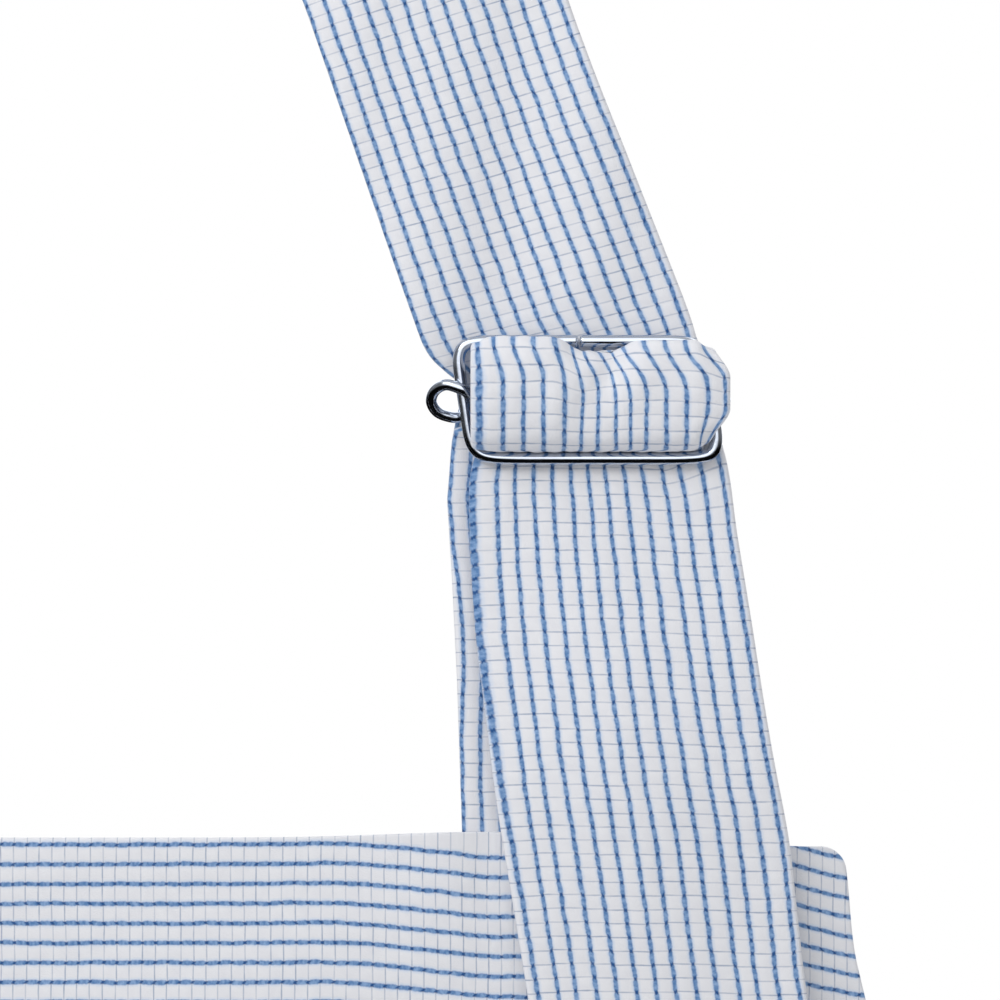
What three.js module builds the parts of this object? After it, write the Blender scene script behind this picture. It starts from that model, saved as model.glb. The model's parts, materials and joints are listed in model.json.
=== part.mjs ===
// A striped butcher apron, hanging by its neck loop from a peg.
// Millimetres, +Z up, +X to the viewer's right, -Y towards the viewer.
// The origin is on the inner face of the loop's top, where the peg carries it.
import * as THREE from "three";

// Cloth
const clothThickness = 1.2;
const strapThickness = 1.6;
const tieThickness = 1.4;
const threadThickness = 0.4;
const clearance = 0.3;

// Bib and skirt
const bibWidth = 282;
const bibHeight = 300;
const skirtWidth = 670;
const skirtHeight = 570;
const flatBibHeight = 130;
const foldDepth = 15;
const foldCount = 3.5;
const panelColumns = 32;
const bibRows = 10;
const skirtRows = 10;
const hemWidth = 12;
const threadWidth = 0.8;

// Neck strap
const strapWidth = 40;
const rollWidth = 41.5;
const rollBulge = 2;
const tailSpread = 1.08;
const strapInset = 21;
const strapLean = THREE.MathUtils.degToRad(20.7);
const flatStrapLength = 95;
const pegRadius = 14;
const sewnLength = 30;

// Slide buckle: a rounded wire frame that is pulled slightly out of square, and its bar
const frameWidth = 39.6;
const frameHeight = 18.8;
const frameRack = 0.149;
const frameCorner = 3;
const frameWire = 1;
const barWire = 0.8;
const buttGap = 0.4;
const turnMargin = 1;
const tabNarrowing = 3;

// Where the buckle sits above the bib, and the strap's free end below it
const buckleAboveBib = 70;
const tabOffset = 2.4;
const tailLength = 200;
const tailHem = 14;
const tailLean = 0.136;
const tailUpperLength = 60;

// Waist ties
const tieWidth = 32;
const tieLength = 830;
const tieSewn = 26;
const tieClear = 9;
const tieDrop = 10;

const buckleX = bibWidth / 2 - strapInset - strapWidth / 2;
const strapTurnWidth = frameWidth - 2 * (frameWire + clearance + turnMargin);
const tabTurnWidth = strapTurnWidth - tabNarrowing;
const pegCentreRadius = pegRadius + strapThickness / 2;
const buckleZ = -pegRadius - (buckleX - pegCentreRadius / Math.cos(strapLean)) / Math.tan(strapLean);
const bibTop = buckleZ - buckleAboveBib;
const waist = bibTop - bibHeight;
const skirtBottom = waist - skirtHeight;
const panelBack = clothThickness / 2;

const apron = new THREE.Group();

function add(name, geometry, colour, roughness, metalness, parent = apron) {
  const material = new THREE.MeshStandardMaterial({ color: colour, roughness, metalness });
  const mesh = new THREE.Mesh(geometry, material);
  mesh.name = name;
  parent.add(mesh);
}

const cloth = (name, geometry) => add(name, geometry, 0xe4e6ec, 0.95, 0);
const thread = (name, geometry) => add(name, geometry, 0xf2f2f0, 0.8, 0);
const chrome = (name, geometry, parent) => add(name, geometry, 0xc9cdd3, 0.15, 1, parent);

// Bends a unit box: place(u, v, w) gives the point for its three shares from 0 to 1.
function bentBox(across, along, place) {
  const geometry = new THREE.BoxGeometry(1, 1, 1, across, 1, along);
  const position = geometry.getAttribute("position");
  for (let i = 0; i < position.count; i++) {
    const u = position.getX(i) + 0.5;
    const v = position.getY(i) + 0.5;
    const w = position.getZ(i) + 0.5;
    const p = place(u, v, w);
    position.setXYZ(i, p.x, p.y, p.z);
  }
  geometry.deleteAttribute("normal");
  geometry.deleteAttribute("uv");
  geometry.computeVertexNormals();
  return geometry;
}

// A flat strip along a curve. width(t) is the strip's whole width vector, and its
// thickness lies square to that and to the curve.
function strip(curve, steps, thickness, width, across = 1) {
  return bentBox(across, steps, (u, v, t) => {
    const side = width(t);
    const normal = curve.getTangentAt(t).cross(side).normalize();
    return curve
      .getPointAt(t)
      .addScaledVector(side, u - 0.5)
      .addScaledVector(normal, (v - 0.5) * thickness);
  });
}

// Round wire along a curve.
function wire(curve, radius, steps, sides) {
  const section = new THREE.Shape().absarc(0, 0, radius, 0, 2 * Math.PI);
  return new THREE.ExtrudeGeometry(section, {
    steps,
    curveSegments: sides / 2,
    bevelEnabled: false,
    extrudePath: curve,
  });
}

// ---- Bib and skirt: one panel, flat at the bib and falling in soft folds below

function halfWidth(z) {
  if (z <= waist) return skirtWidth / 2;
  const t = (bibTop - z) / bibHeight;
  return bibWidth / 2 + ((skirtWidth - bibWidth) / 2) * (0.35 * t + 0.65 * t ** 3);
}

function foldAt(u, z) {
  const fallen = THREE.MathUtils.clamp(
    (bibTop - flatBibHeight - z) / (bibHeight + skirtHeight - flatBibHeight),
    0,
    1,
  );
  const reach = foldDepth * fallen ** 1.4;
  const edge = 1 - Math.abs(2 * u - 1) ** 6;
  return reach * edge * Math.sin(2 * Math.PI * foldCount * (u - 0.5) + 1.1 * fallen);
}

const panelRows = bibRows + skirtRows;

function rowHeight(w) {
  const row = w * panelRows;
  if (row <= skirtRows) return skirtBottom + (skirtHeight * row) / skirtRows;
  return waist + (bibHeight * (row - skirtRows)) / bibRows;
}

function panelPoint(u, w) {
  const z = rowHeight(w);
  return new THREE.Vector3((2 * u - 1) * halfWidth(z), foldAt(u, z), z);
}

cloth(
  "apron_panel",
  bentBox(panelColumns, panelRows, (u, v, w) => {
    const p = panelPoint(u, w);
    p.y += (v - 0.5) * clothThickness;
    return p;
  }),
);

// Hem threads lie on the back of the panel, over the same rows and columns as its faces.
function hemThread(name, across, along, shareU, shareW) {
  const offset = panelBack + 2.5 * clearance;
  thread(
    name,
    bentBox(across, along, (u, v, w) => {
      const p = onPanel(shareU(u), shareW(w));
      p.y += offset + v * threadThickness;
      return p;
    }),
  );
}

// A point between the panel's rows and columns, on its flat facets.
function onPanel(u, w) {
  const column = Math.min(Math.floor(u * panelColumns), panelColumns - 1);
  const row = Math.min(Math.floor(w * panelRows), panelRows - 1);
  const a = u * panelColumns - column;
  const b = w * panelRows - row;
  const low = panelPoint(column / panelColumns, row / panelRows)
    .lerp(panelPoint((column + 1) / panelColumns, row / panelRows), a);
  const high = panelPoint(column / panelColumns, (row + 1) / panelRows)
    .lerp(panelPoint((column + 1) / panelColumns, (row + 1) / panelRows), a);
  return low.lerp(high, b);
}

const edgeShare = hemWidth / skirtWidth;
const topShare = hemWidth / (bibHeight / bibRows) / panelRows;
const bottomShare = hemWidth / (skirtHeight / skirtRows) / panelRows;
const threadTop = threadWidth / (bibHeight / bibRows) / panelRows;
const threadBottom = threadWidth / (skirtHeight / skirtRows) / panelRows;
const threadSide = threadWidth / skirtWidth;
const bandU = (u) => 2 * edgeShare + u * (1 - 4 * edgeShare);
const bandW = (w) => 2 * bottomShare + w * (1 - 2 * bottomShare - 2 * topShare);

hemThread("hem_stitch_bottom", 4 * panelColumns, 1, bandU, (w) => bottomShare + w * threadBottom);
hemThread("hem_stitch_left", 1, 2 * panelRows, (u) => edgeShare + u * threadSide, bandW);
hemThread("hem_stitch_right", 1, 2 * panelRows, (u) => 1 - edgeShare - (1 - u) * threadSide, bandW);

// The top hem's thread runs between the two straps that are sewn behind the bib.
const betweenStraps = buckleX - strapWidth / 2 - 6;
hemThread(
  "hem_stitch_top",
  1,
  1,
  (u) => 0.5 + ((u - 0.5) * betweenStraps) / halfWidth(bibTop - hemWidth),
  (w) => 1 - topShare - (1 - w) * threadTop,
);

// ---- Buckle: frame and bar, in a group at the buckle's centre

const buckle = new THREE.Group();
buckle.position.set(buckleX, 0, buckleZ);
apron.add(buckle);

const racked = (x, z) => new THREE.Vector3(x - frameRack * z, 0, z);

function frameCurve() {
  const w = frameWidth / 2;
  const h = frameHeight / 2;
  const r = frameCorner;
  const corners = [[w, h], [w, -h], [-w, -h], [-w, h]];
  const curve = new THREE.CurvePath();
  let from = racked(buttGap / 2, h);
  corners.forEach(([x, z], i) => {
    const [sx, sz] = [Math.sign(x), Math.sign(z)];
    const onBar = racked(x - sx * r, z);
    const onSide = racked(x, z - sz * r);
    const [entry, exit] = i % 2 === 0 ? [onBar, onSide] : [onSide, onBar];
    curve.add(new THREE.LineCurve3(from, entry));
    curve.add(new THREE.QuadraticBezierCurve3(entry, racked(x, z), exit));
    from = exit;
  });
  curve.add(new THREE.LineCurve3(from, racked(-buttGap / 2, h)));
  return curve;
}

chrome("slider_frame", wire(frameCurve(), frameWire, 88, 8), buckle);

// The bar crosses in front of each side wire, curls round it and ends behind it.
const crossing = frameWire + barWire + clearance;
const side = frameWidth / 2;
const barCurve = new THREE.CatmullRomCurve3(
  [
    [-side, crossing + 0.3, -2.7],
    [-side - 2, crossing, -2.7],
    [-side - 4.2, 1.5, -1.9],
    [-side - 5.2, 0.4, -0.2],
    [-side - 4.6, -0.8, 1.5],
    [-side - 2.8, -1.8, 2.4],
    [-side - 0.4, -crossing - 0.1, 1.7],
    [-side + 1.5, -1.4, 0.7],
    [-side + 3, -0.1, 0],
    [-side + 6, 0, 0],
    [0, 0, 0],
    [side - 6, 0, 0],
    [side - 3, -0.1, 0],
    [side - 1.6, -1.5, 0],
    [side, -crossing - 0.1, 0],
    [side + 1.9, -1.1, 0],
    [side + 2.2, 0.6, 0],
    [side + 1, crossing - 0.1, 0],
    [side - 0.6, crossing + 0.3, 0],
  ].map(([x, y, z]) => new THREE.Vector3(x, y, z)),
);
chrome("slider_bar", wire(barCurve, barWire, 84, 8), buckle);

// ---- Neck strap: up from the bib's left corner, over the peg, down to the buckle

const strapGap = strapThickness / 2 + clearance;
const behindBar = frameWire + strapGap;
const behindBib = panelBack + strapGap;
const rollTop = frameHeight / 2 + 4;
const leftX = -buckleX;
const leftReach = Math.hypot(leftX, bibTop + pegRadius);
const leftLean = Math.atan2(-leftX, -bibTop - pegRadius) - Math.asin(pegCentreRadius / leftReach);

function onArc(angle) {
  return new THREE.Vector3(
    pegCentreRadius * Math.sin(angle),
    behindBar,
    pegCentreRadius * Math.cos(angle) - pegRadius,
  );
}

const leftFoot = new THREE.Vector3(
  leftX - sewnLength * Math.tan(leftLean),
  behindBib,
  bibTop - sewnLength,
);
const leftTop = onArc(leftLean - Math.PI / 2);
const rightTop = onArc(Math.PI / 2 - strapLean);
const rightFoot = new THREE.Vector3(
  buckleX - rollTop * Math.tan(strapLean) + 1.5,
  behindBar,
  buckleZ + rollTop + clearance,
);

const neckCurve = new THREE.CurvePath();
neckCurve.add(new THREE.LineCurve3(leftFoot, leftTop));
for (let i = 0; i < 12; i++) {
  const span = Math.PI - leftLean - strapLean;
  const angle = (k) => leftLean - Math.PI / 2 + (span * k) / 12;
  neckCurve.add(new THREE.LineCurve3(onArc(angle(i)), onArc(angle(i + 1))));
}
neckCurve.add(new THREE.LineCurve3(rightTop, rightFoot));

const neckLength = neckCurve.getLength();
const leftLength = leftFoot.distanceTo(leftTop);
const rightLength = rightTop.distanceTo(rightFoot);
const smooth = THREE.MathUtils.smootherstep;

// The strap lies flat at both feet and turns a quarter on its way to the peg.
function neckWidth(t) {
  const d = t * neckLength;
  const left = smooth(d, flatStrapLength, leftLength);
  const right = smooth(neckLength - d, flatStrapLength, rightLength);
  const turn = (Math.PI / 2) * Math.min(left, right);
  const tangent = neckCurve.getTangentAt(t);
  const flat = new THREE.Vector3(-tangent.z, 0, tangent.x);
  // the end at the buckle is cut level, so that it meets the roll
  const level = 1 - smooth(neckLength - d, 0, 30);
  flat.lerp(new THREE.Vector3(1, 0, 0), level).normalize();
  const width = flat.multiplyScalar(Math.cos(turn));
  width.y += Math.sin(turn);
  return width.multiplyScalar(strapWidth);
}

cloth("neck_strap", strip(neckCurve, 84, strapThickness, neckWidth, 2));

// ---- The strap over the buckle's bar, and its free end

const barWrap = barWire + clearance + strapThickness + strapGap;
const barGap = frameWire + strapGap;
const barZ = frameHeight / 2;

// How far the roll moves sideways: between the racked side wires it follows them, and in
// front of them it bulges to the right. Behind the bars it meets the neck strap and the tail.
function rollShift(y, z) {
  const between = -frameRack * THREE.MathUtils.clamp(z, -barZ, barZ);
  return THREE.MathUtils.lerp(between, rollBulge, THREE.MathUtils.smoothstep(-y, 2, 5));
}

// A strip through the buckle, from its points [y, z]; shift(z, y) moves it sideways.
function buckleStrip(points, shift, steps, width, across) {
  const curve = new THREE.CatmullRomCurve3(points.map(([y, z]) => new THREE.Vector3(shift(y, z), y, z)));
  return strip(curve, steps, strapThickness, width(curve), across);
}

const rollPoints = [
  [behindBar, rollTop],
  [behindBar, barZ + 1.2],
  [behindBar - 0.35, barZ - 0.9],
  [0.5, barZ - barGap - 0.4],
  [-1.4, barZ - barGap],
  [-3.2, barZ - 1],
  [-4.6, barZ - 2],
  [-barWrap - 1.7, 3.4],
  [-barWrap - 1.9, 0],
  [-barWrap - 1.3, -3.2],
  [-3.2, -5.7],
  [-1.2, barGap - barZ],
  [0.5, barGap - barZ + 0.4],
  [behindBar - 0.35, 0.9 - barZ],
  [behindBar, -barZ - 1.2],
  [behindBar, -rollTop],
];

cloth(
  "strap_roll",
  buckleStrip(
    rollPoints,
    rollShift,
    44,
    (curve) => (t) => {
      const p = curve.getPointAt(t);
      const front = THREE.MathUtils.smoothstep(-p.y, 3, 5);
      const away = THREE.MathUtils.smoothstep(Math.abs(p.z), barZ + 1.5, rollTop);
      const wide = strapTurnWidth + (rollWidth - strapTurnWidth) * front;
      return new THREE.Vector3(wide + (strapWidth - strapTurnWidth) * away, 0, 0);
    },
    2,
  ).translate(buckleX, 0, buckleZ),
);

// The free end comes out behind the lower bar and lies over the front of the bib.
const inFront = -(panelBack + strapGap);
const tailSplit = -(rollTop + tailUpperLength);

function tailCurve(from, to) {
  const points = [];
  for (let i = 0; i <= 8; i++) {
    const z = from + ((to - from) * i) / 8;
    const y = THREE.MathUtils.lerp(behindBar, inFront - 0.6, smooth(-z, rollTop, buckleAboveBib - 4));
    points.push(new THREE.Vector3(buckleX + 1.4 + tailLean * (-z - rollTop), y, buckleZ + z));
  }
  return new THREE.CatmullRomCurve3(points);
}

function tailWidth(from, to) {
  return (t) => {
    const z = from + (to - from) * t;
    const spread = 1 + (tailSpread - 1) * THREE.MathUtils.clamp((-z - rollTop) / tailUpperLength, 0, 1);
    return new THREE.Vector3(strapWidth * spread, 0, 0);
  };
}

function tailPiece(name, from, to, steps) {
  cloth(name, strip(tailCurve(from, to), steps, strapThickness, tailWidth(from, to), 2));
}

tailPiece("strap_tail_upper", -rollTop - clearance, tailSplit, 14);
tailPiece("strap_tail_end", tailSplit - clearance, -tailLength, 12);

const tailFront = inFront - 0.6 - strapThickness / 2 - clearance;
const tailStitch = new THREE.BoxGeometry(strapWidth - 4, threadThickness, threadWidth);
const stitchZ = tailHem - tailLength;
tailStitch.translate(
  buckleX + 1.4 + tailLean * (-stitchZ - rollTop),
  tailFront - threadThickness / 2,
  buckleZ + stitchZ,
);
thread("tail_hem_stitch", tailStitch);

// ---- The tab: looped round the bar, both layers sewn behind the bib

const wrap = barWire + strapGap + 0.15;
const layer = strapThickness + clearance;
const tabFront = behindBar + strapThickness + clearance;
const tabFoot = -buckleAboveBib - sewnLength;
const tabPoints = [
  [behindBib, tabFoot],
  [behindBib, -buckleAboveBib],
  [behindBib + 0.3, -buckleAboveBib + 12],
  [(behindBib + tabFront) / 2, -38],
  [tabFront + 0.2, -20],
  [tabFront + 0.2, -barZ],
  [tabFront - 1, -barZ + 3.4],
  [1.2, -3.6],
  [-1.1, -1.7],
  [-wrap, 0],
  [-0.7 * wrap, 0.7 * wrap],
  [0, wrap],
  [0.8 * wrap, 0.65 * wrap],
  [3.6, -1.8],
  [tabFront + layer - 0.6, -barZ + 3.6],
  [tabFront + layer + 0.3, -barZ],
  [tabFront + layer + 0.3, -20],
  [(behindBib + tabFront) / 2 + layer + 0.1, -38],
  [behindBib + 0.3 + layer, -buckleAboveBib + 12],
  [behindBib + layer + 0.05, -buckleAboveBib],
  [behindBib + layer + 0.05, tabFoot],
];

// Behind the lower bar the tab stands out to the left, and it comes back at the bib.
function tabShift(y, z) {
  const below = THREE.MathUtils.smoothstep(-z, 4, 12);
  return -tabOffset * below * (1 - THREE.MathUtils.smoothstep(-z, 30, buckleAboveBib));
}

cloth(
  "strap_tab",
  buckleStrip(
    tabPoints,
    tabShift,
    76,
    (curve) => (t) => {
      const p = curve.getPointAt(t);
      const away = THREE.MathUtils.smoothstep(-p.z, 2, barZ);
      return new THREE.Vector3(-tabTurnWidth - (strapWidth - tabTurnWidth) * away, 0, 0);
    },
    1,
  ).translate(buckleX, 0, buckleZ),
);

// ---- Box stitches: a square of thread with a cross, one flat piece

function boxStitch(width, height) {
  const w = width / 2;
  const h = height / 2;
  const t = threadWidth;
  const outline = new THREE.Shape(
    [[-w, -h], [w, -h], [w, h], [-w, h]].map((p) => new THREE.Vector2(...p)),
  );
  const slope = h / w;
  const inset = t * (1 + slope);
  for (const s of [-1, 1]) {
    outline.holes.push(
      new THREE.Path(
        [[0, s * inset * 0.7], [w - t - inset, s * (h - t)], [t + inset - w, s * (h - t)]]
          .map((p) => new THREE.Vector2(...p)),
      ),
      new THREE.Path(
        [
          [(s * inset * 0.7) / slope, 0],
          [s * (w - t), h - t - inset * slope],
          [s * (w - t), t + inset * slope - h],
        ].map((p) => new THREE.Vector2(...p)),
      ),
    );
  }
  const flat = new THREE.ExtrudeGeometry(outline, { depth: threadThickness, bevelEnabled: false });
  return flat.rotateX(Math.PI / 2);
}

const boxWidth = strapWidth - 10;
const boxHeight = sewnLength - 10;
const boxZ = bibTop - sewnLength / 2;

const neckBack = behindBib + strapThickness / 2 + 1.5 * clearance;
thread(
  "neck_strap_stitch",
  boxStitch(boxWidth, boxHeight).translate(
    leftX - (sewnLength / 2) * Math.tan(leftLean),
    neckBack + threadThickness,
    boxZ,
  ),
);

const tabBack = behindBib + layer + strapThickness / 2 + 2 * clearance;
thread(
  "strap_tab_stitch",
  boxStitch(boxWidth, boxHeight).translate(buckleX, tabBack + threadThickness, boxZ),
);

const loopStitch = new THREE.BoxGeometry(strapWidth - 6, threadThickness, threadWidth);
loopStitch.translate(
  buckleX - tabOffset,
  tabFront + layer + 0.3 + strapThickness / 2 + clearance + threadThickness / 2 + 0.2,
  buckleZ - 18,
);
thread("tab_loop_stitch", loopStitch);

// ---- Waist ties: sewn behind the panel's corners, hanging outside its side edges

function waistTie(side, name, tackName) {
  const edge = skirtWidth / 2;
  const seat = onPanel((1 + side) / 2 - (side * tieSewn) / 2 / skirtWidth, skirtRows / panelRows);
  const back = seat.y + panelBack + 4 * clearance + threadThickness + tieThickness / 2;
  const out = edge + tieClear + tieWidth / 2;
  const top = waist - tieDrop;
  const points = [
    [edge - tieSewn + 4, back, top + 6],
    [edge - 4, back, top - 3],
    [edge + 14, back, top - 18],
    [out, back, top - 52],
    [out + 1, back, top - 110],
    [out, back, top - 0.5 * tieLength],
    [out, back, top - tieLength],
  ];
  const curve = new THREE.CatmullRomCurve3(
    points.map(([x, y, z]) => new THREE.Vector3(side * x, y, z)),
    false,
    "centripetal",
  );
  const width = (t) => {
    const tangent = curve.getTangentAt(t);
    return new THREE.Vector3(-tangent.z, 0, tangent.x).normalize().multiplyScalar(tieWidth);
  };
  cloth(name, strip(curve, 48, tieThickness, width, 1));
  const tack = new THREE.BoxGeometry(2 * threadWidth, threadThickness, tieWidth - 8);
  tack.rotateY(side * 0.45);
  tack.translate(
    side * (edge - 12),
    back + tieThickness / 2 + clearance + threadThickness / 2,
    top + 1,
  );
  thread(tackName, tack);
}

waistTie(-1, "waist_tie_left", "tie_tack_left");
waistTie(1, "waist_tie_right", "tie_tack_right");

export default apron;
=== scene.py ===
import json
import math

import bmesh
import bpy
import numpy as np
from mathutils import Matrix, Vector


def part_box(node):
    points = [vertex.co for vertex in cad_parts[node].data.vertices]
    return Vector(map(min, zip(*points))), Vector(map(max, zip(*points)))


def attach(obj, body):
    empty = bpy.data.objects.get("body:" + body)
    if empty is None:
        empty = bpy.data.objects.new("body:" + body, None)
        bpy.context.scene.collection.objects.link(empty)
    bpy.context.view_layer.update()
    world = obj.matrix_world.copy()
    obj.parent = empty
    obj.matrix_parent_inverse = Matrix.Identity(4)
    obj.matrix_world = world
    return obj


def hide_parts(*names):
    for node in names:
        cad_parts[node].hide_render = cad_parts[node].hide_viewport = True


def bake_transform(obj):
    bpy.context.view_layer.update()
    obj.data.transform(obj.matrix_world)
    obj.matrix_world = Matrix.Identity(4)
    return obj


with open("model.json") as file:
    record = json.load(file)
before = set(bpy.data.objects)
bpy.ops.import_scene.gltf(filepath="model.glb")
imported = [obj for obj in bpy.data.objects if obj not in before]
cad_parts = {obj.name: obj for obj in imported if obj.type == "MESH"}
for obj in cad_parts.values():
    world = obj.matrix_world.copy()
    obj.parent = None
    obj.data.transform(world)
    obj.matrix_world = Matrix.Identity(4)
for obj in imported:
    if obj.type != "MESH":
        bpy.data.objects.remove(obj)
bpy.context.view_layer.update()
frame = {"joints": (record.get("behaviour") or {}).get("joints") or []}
scene = bpy.context.scene
joints = {joint["name"]: joint for joint in frame["joints"]}
buckle = np.array(joints["buckle_tilt"]["pos_m"])
bib_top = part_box("apron_panel")[1].z

# ---- Camera: level, square to the bib, close to the buckle.
# A long lens keeps the strap and the bib almost free of perspective.
lens = bpy.data.cameras.new("buckle_view")
lens.lens = 225
lens.sensor_width = 36
lens.clip_start = 0.05
camera = bpy.data.objects.new("buckle_view", lens)
scene.collection.objects.link(camera)
camera.location = (buckle[0] - 0.014, -1.0, buckle[2] - 0.016)
camera.rotation_euler = (math.pi / 2, 0, 0)
scene.camera = camera

# ---- Studio: even white daylight, a pale floor, and a darker half of the room
# below, which the chrome needs for its black undersides.
scene.view_settings.view_transform = "Standard"
scene.view_settings.look = "None"


def linear(colour):
    """An sRGB hex colour as the linear RGBA that shader sockets take."""
    parts = [int(colour[i:i + 2], 16) / 255 for i in (1, 3, 5)]
    return [c / 12.92 if c <= 0.04045 else ((c + 0.055) / 1.055) ** 2.4 for c in parts] + [1]


def node(tree, kind, links=None, **settings):
    """Adds a node; links gives its inputs as values or as sockets to join."""
    made = tree.nodes.new("ShaderNode" + kind)
    for name, value in settings.items():
        setattr(made, name, value)
    for key, value in (links or {}).items():
        if isinstance(value, bpy.types.NodeSocket):
            tree.links.new(value, made.inputs[key])
        else:
            made.inputs[key].default_value = value
    return made


def maths(tree, operation, *values):
    """The result of a Math node."""
    return node(tree, "Math", dict(enumerate(values)), operation=operation).outputs[0]


def ramp(tree, value, low, high, start=0, end=1):
    """Smooth step of a value from start at low to end at high."""
    links = {"Value": value, "From Min": low, "From Max": high, "To Min": start, "To Max": end}
    return node(tree, "MapRange", links, interpolation_type="SMOOTHSTEP").outputs[0]


def blend_colour(tree, share, first, second):
    """A mix of two colours."""
    return node(tree, "Mix", {0: share, 6: first, 7: second}, data_type="RGBA").outputs[2]


world = bpy.data.worlds.new("studio")
scene.world = world
world.use_nodes = True
sky = world.node_tree
sky.nodes.clear()
facing = node(sky, "TexCoord").outputs["Generated"]
toward = node(sky, "SeparateXYZ", {0: facing})
height = toward.outputs[2]
softbox = maths(sky, "MULTIPLY", ramp(sky, height, -0.2, 0.1), ramp(sky, height, 0.75, 0.92, 1, 0.25))
mirrored = maths(sky, "MULTIPLY_ADD", softbox, 1.5, ramp(sky, height, -0.3, -0.1, 0.004, 0.3))
flank = ramp(sky, maths(sky, "ABSOLUTE", toward.outputs[0]), 0.35, 0.8, 1, 0.12)
mirrored = maths(sky, "MULTIPLY", mirrored, flank)
rays = node(sky, "LightPath")
glossy = rays.outputs["Is Glossy Ray"]
around = maths(sky, "MULTIPLY_ADD", ramp(sky, height, -0.5, 0.6), 0.3, 0.36)
strength = node(sky, "Mix", {0: glossy, 2: around, 3: mirrored}).outputs[0]
room = node(sky, "Background", {"Color": [0.96, 0.975, 1, 1], "Strength": strength}).outputs[0]
paper = node(sky, "Background", {"Color": [1, 1, 1, 1], "Strength": 1}).outputs[0]
both = node(sky, "MixShader", {0: rays.outputs["Is Camera Ray"], 1: room, 2: paper}).outputs[0]
node(sky, "OutputWorld", {"Surface": both})

for name, place, size, power in (
    ("key", (-1.5, -1.6, 0.9), 0.9, 12),
    ("near", (-0.2, -0.45, 0.1), 0.3, 1.15),
    ("fill", (1.6, -1.4, -0.4), 1.5, 0.8),
    ("back", (0.9, 1.8, 0.6), 1.4, 16),
):
    lamp = bpy.data.lights.new(name, "AREA")
    lamp.size = size
    lamp.energy = power
    light = bpy.data.objects.new(name, lamp)
    light.location = place
    light.visible_glossy = name == "near"
    aim = Vector((0.05, 0, -0.4)) - light.location
    light.rotation_euler = aim.to_track_quat("-Z", "Y").to_euler()
    scene.collection.objects.link(light)

floor_half = 10
floor_height = -1.5
cell = bmesh.new()
bmesh.ops.create_grid(cell, x_segments=1, y_segments=1, size=floor_half)
bmesh.ops.translate(cell, verts=cell.verts, vec=(0, 0, floor_height))
floor_mesh = bpy.data.meshes.new("floor")
cell.to_mesh(floor_mesh)
cell.free()
floor = bpy.data.objects.new("floor", floor_mesh)
scene.collection.objects.link(floor)
pale = bpy.data.materials.new("floor")
pale.use_nodes = True
matt = pale.node_tree.nodes["Principled BSDF"]
matt.inputs["Base Color"].default_value = (0.84, 0.84, 0.84, 1)
matt.inputs["Roughness"].default_value = 0.9
floor_mesh.materials.append(pale)
floor.visible_glossy = False

# ---- Buckle: a frame of nickel-plated steel wire, 2 mm thick, bent round a racked
# rectangle with its ends butted in the top bar, and a thinner bar hooked to its sides.
frame_half = 0.0198
frame_bar = 0.0094
frame_rack = 0.149
frame_wire = 0.001
bar_wire = 0.0009


def smooth(value, low, high):
    """Smooth step from 0 at low to 1 at high."""
    t = np.clip((np.asarray(value, float) - low) / (high - low), 0, 1)
    return t * t * (3 - 2 * t)


def spline(points, samples):
    """Evenly spaced points on a smooth curve through the given ones."""
    p = np.asarray(points, float)
    p = np.vstack([2 * p[0] - p[1], p, 2 * p[-1] - p[-2]])
    t = np.linspace(0, 1, 24, endpoint=False)[:, None]
    runs = []
    for a, b, c, d in zip(p, p[1:], p[2:], p[3:]):
        slope = 2 * a - 5 * b + 4 * c - d
        runs.append(0.5 * (2 * b + (c - a) * t + slope * t ** 2 + (3 * b - a - 3 * c + d) * t ** 3))
    line = np.vstack(runs + [p[-2][None]])
    length = np.append(0, np.cumsum(np.linalg.norm(np.diff(line, axis=0), axis=1)))
    at = np.linspace(0, length[-1], samples) if np.isscalar(samples) else samples * length[-1]
    return np.stack([np.interp(at, length, line[:, i]) for i in range(p.shape[1])], 1)


def grid_object(name, places, weave=None, closed=False):
    """A mesh of rows and columns of points, with meeting points joined."""
    rows, columns = places.shape[:2]
    built = bmesh.new()
    bmesh.ops.create_grid(built, x_segments=columns - 1, y_segments=rows - 1, size=1)
    mesh = bpy.data.meshes.new(name)
    built.to_mesh(mesh)
    count = len(mesh.vertices)
    flat = np.empty(count * 3, np.float32)
    mesh.vertices.foreach_get("co", flat)
    flat = flat.reshape(-1, 3)
    column = np.rint((flat[:, 0] + 1) / 2 * (columns - 1)).astype(int)
    row = np.rint((flat[:, 1] + 1) / 2 * (rows - 1)).astype(int)
    mesh.vertices.foreach_set("co", places[row, column].astype(np.float32).ravel())
    if weave is not None:
        corner = np.empty(len(mesh.loops), np.int32)
        mesh.loops.foreach_get("vertex_index", corner)
        layer = mesh.uv_layers.new(name="weave")
        layer.data.foreach_set("uv", weave[row, column][corner, :2].astype(np.float32).ravel())
        for at, word in ((2, "ribbed"), (3, "folded")):
            share = mesh.attributes.new(word, "FLOAT", "POINT")
            share.data.foreach_set("value", weave[row, column][:, at].astype(np.float32))
    built.clear()
    built.from_mesh(mesh)
    bmesh.ops.remove_doubles(built, verts=built.verts, dist=1e-6)
    if closed:
        loose = [edge for edge in built.edges if edge.is_boundary]
        if loose:
            bmesh.ops.holes_fill(built, edges=loose, sides=0)
    if built.calc_volume(signed=True) < 0:
        bmesh.ops.reverse_faces(built, faces=built.faces)
    for face in built.faces:
        face.smooth = True
    built.to_mesh(mesh)
    built.free()
    made = bpy.data.objects.new(name, mesh)
    scene.collection.objects.link(made)
    return made


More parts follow.
